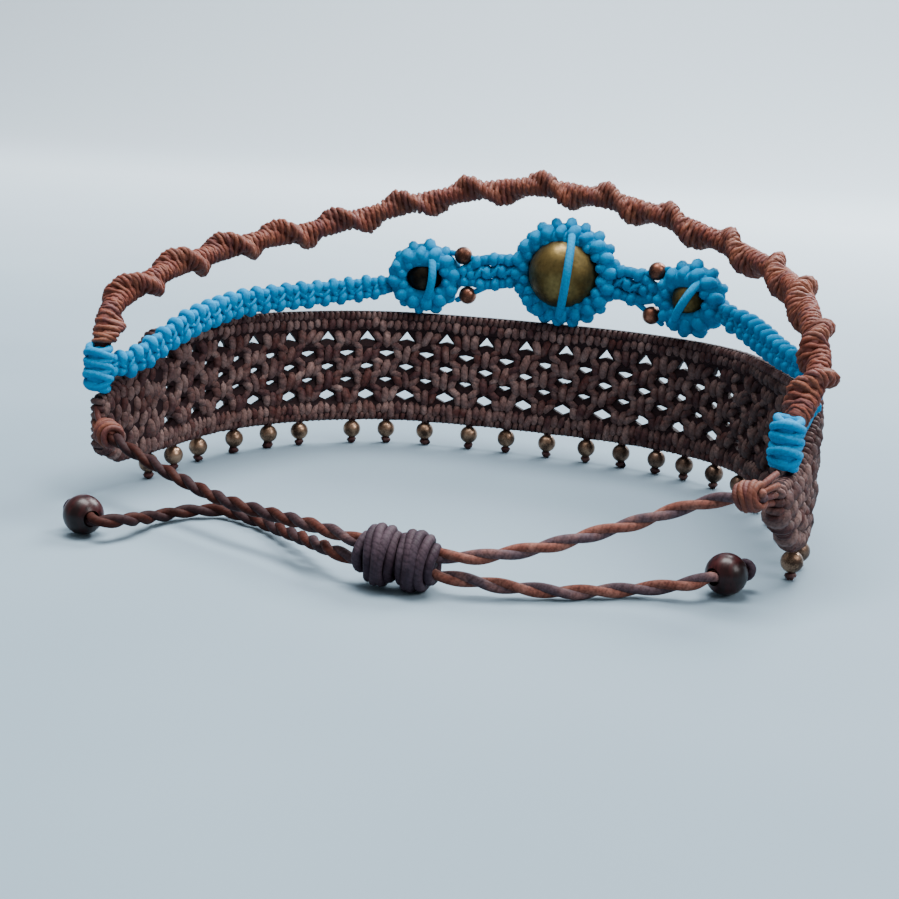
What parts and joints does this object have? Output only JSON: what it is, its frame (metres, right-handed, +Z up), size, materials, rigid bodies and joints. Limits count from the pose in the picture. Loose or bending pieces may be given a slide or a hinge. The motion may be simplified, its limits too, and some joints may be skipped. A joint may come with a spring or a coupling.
{
  "type": "macrame bracelet",
  "caption": "Knotted wristband: a pierced net band with edge beads, a blue ribbon with set beads and a spiral cord above it, closed by two cords in a sliding knot.",
  "frame": {"origin": "middle of the bracelet's box, measured without its closing cords, on the surface it stands on", "axes": "+X along the bracelet's longest way across, +Z up, the closing cords toward -Y"},
  "size_m": [0.0705, 0.0578, 0.0318],
  "materials": {
    "dark_cord": "waxed cord, soft sheen",
    "blue_cord": "waxed cord, soft sheen",
    "orange_purple_cord": "waxed cord, soft sheen",
    "two_ply_cord": "waxed cord, soft sheen",
    "bronze_bead": "satin",
    "brass_bead": "polished",
    "dark_bead": "polished",
    "copper_bead": "satin",
    "wooden_bead": "polished"
  },
  "bodies": {
    "root": {"net_band": "dark_cord", "edge_bead_1": "bronze_bead", "edge_bead_2": "bronze_bead", "edge_bead_3": "bronze_bead", "edge_bead_4": "bronze_bead", "edge_bead_5": "bronze_bead", "edge_bead_6": "bronze_bead", "edge_bead_7": "bronze_bead", "edge_bead_8": "bronze_bead", "edge_bead_9": "bronze_bead", "edge_bead_10": "bronze_bead", "edge_bead_11": "bronze_bead", "edge_bead_12": "bronze_bead", "edge_bead_13": "bronze_bead", "edge_bead_14": "bronze_bead", "edge_bead_15": "bronze_bead", "edge_bead_16": "bronze_bead", "edge_bead_17": "bronze_bead", "edge_bead_18": "bronze_bead", "edge_bead_19": "bronze_bead", "edge_bead_20": "bronze_bead", "edge_bead_21": "bronze_bead", "edge_bead_22": "bronze_bead", "edge_bead_23": "bronze_bead", "edge_bead_24": "bronze_bead", "blue_strand_left": "blue_cord", "blue_strand_right": "blue_cord", "blue_link_left": "blue_cord", "blue_link_right": "blue_cord", "centre_bezel": "blue_cord", "side_bezel_left": "blue_cord", "side_bezel_right": "blue_cord", "centre_bead": "brass_bead", "side_bead_right": "brass_bead", "side_bead_left": "dark_bead", "copper_bead_1": "copper_bead", "copper_bead_2": "copper_bead", "copper_bead_3": "copper_bead", "copper_bead_4": "copper_bead", "spiral_strand": "orange_purple_cord", "blue_wrap_left": "blue_cord", "blue_wrap_right": "blue_cord", "junction_wrap_left": "orange_purple_cord", "junction_wrap_right": "orange_purple_cord", "closure_cord_left": "two_ply_cord", "closure_cord_right": "two_ply_cord", "sliding_knot": "dark_cord", "wooden_bead_left": "wooden_bead", "wooden_bead_right": "wooden_bead", "tail_knot_left": "dark_cord", "tail_knot_right": "dark_cord"}
  },
  "joints": []
}
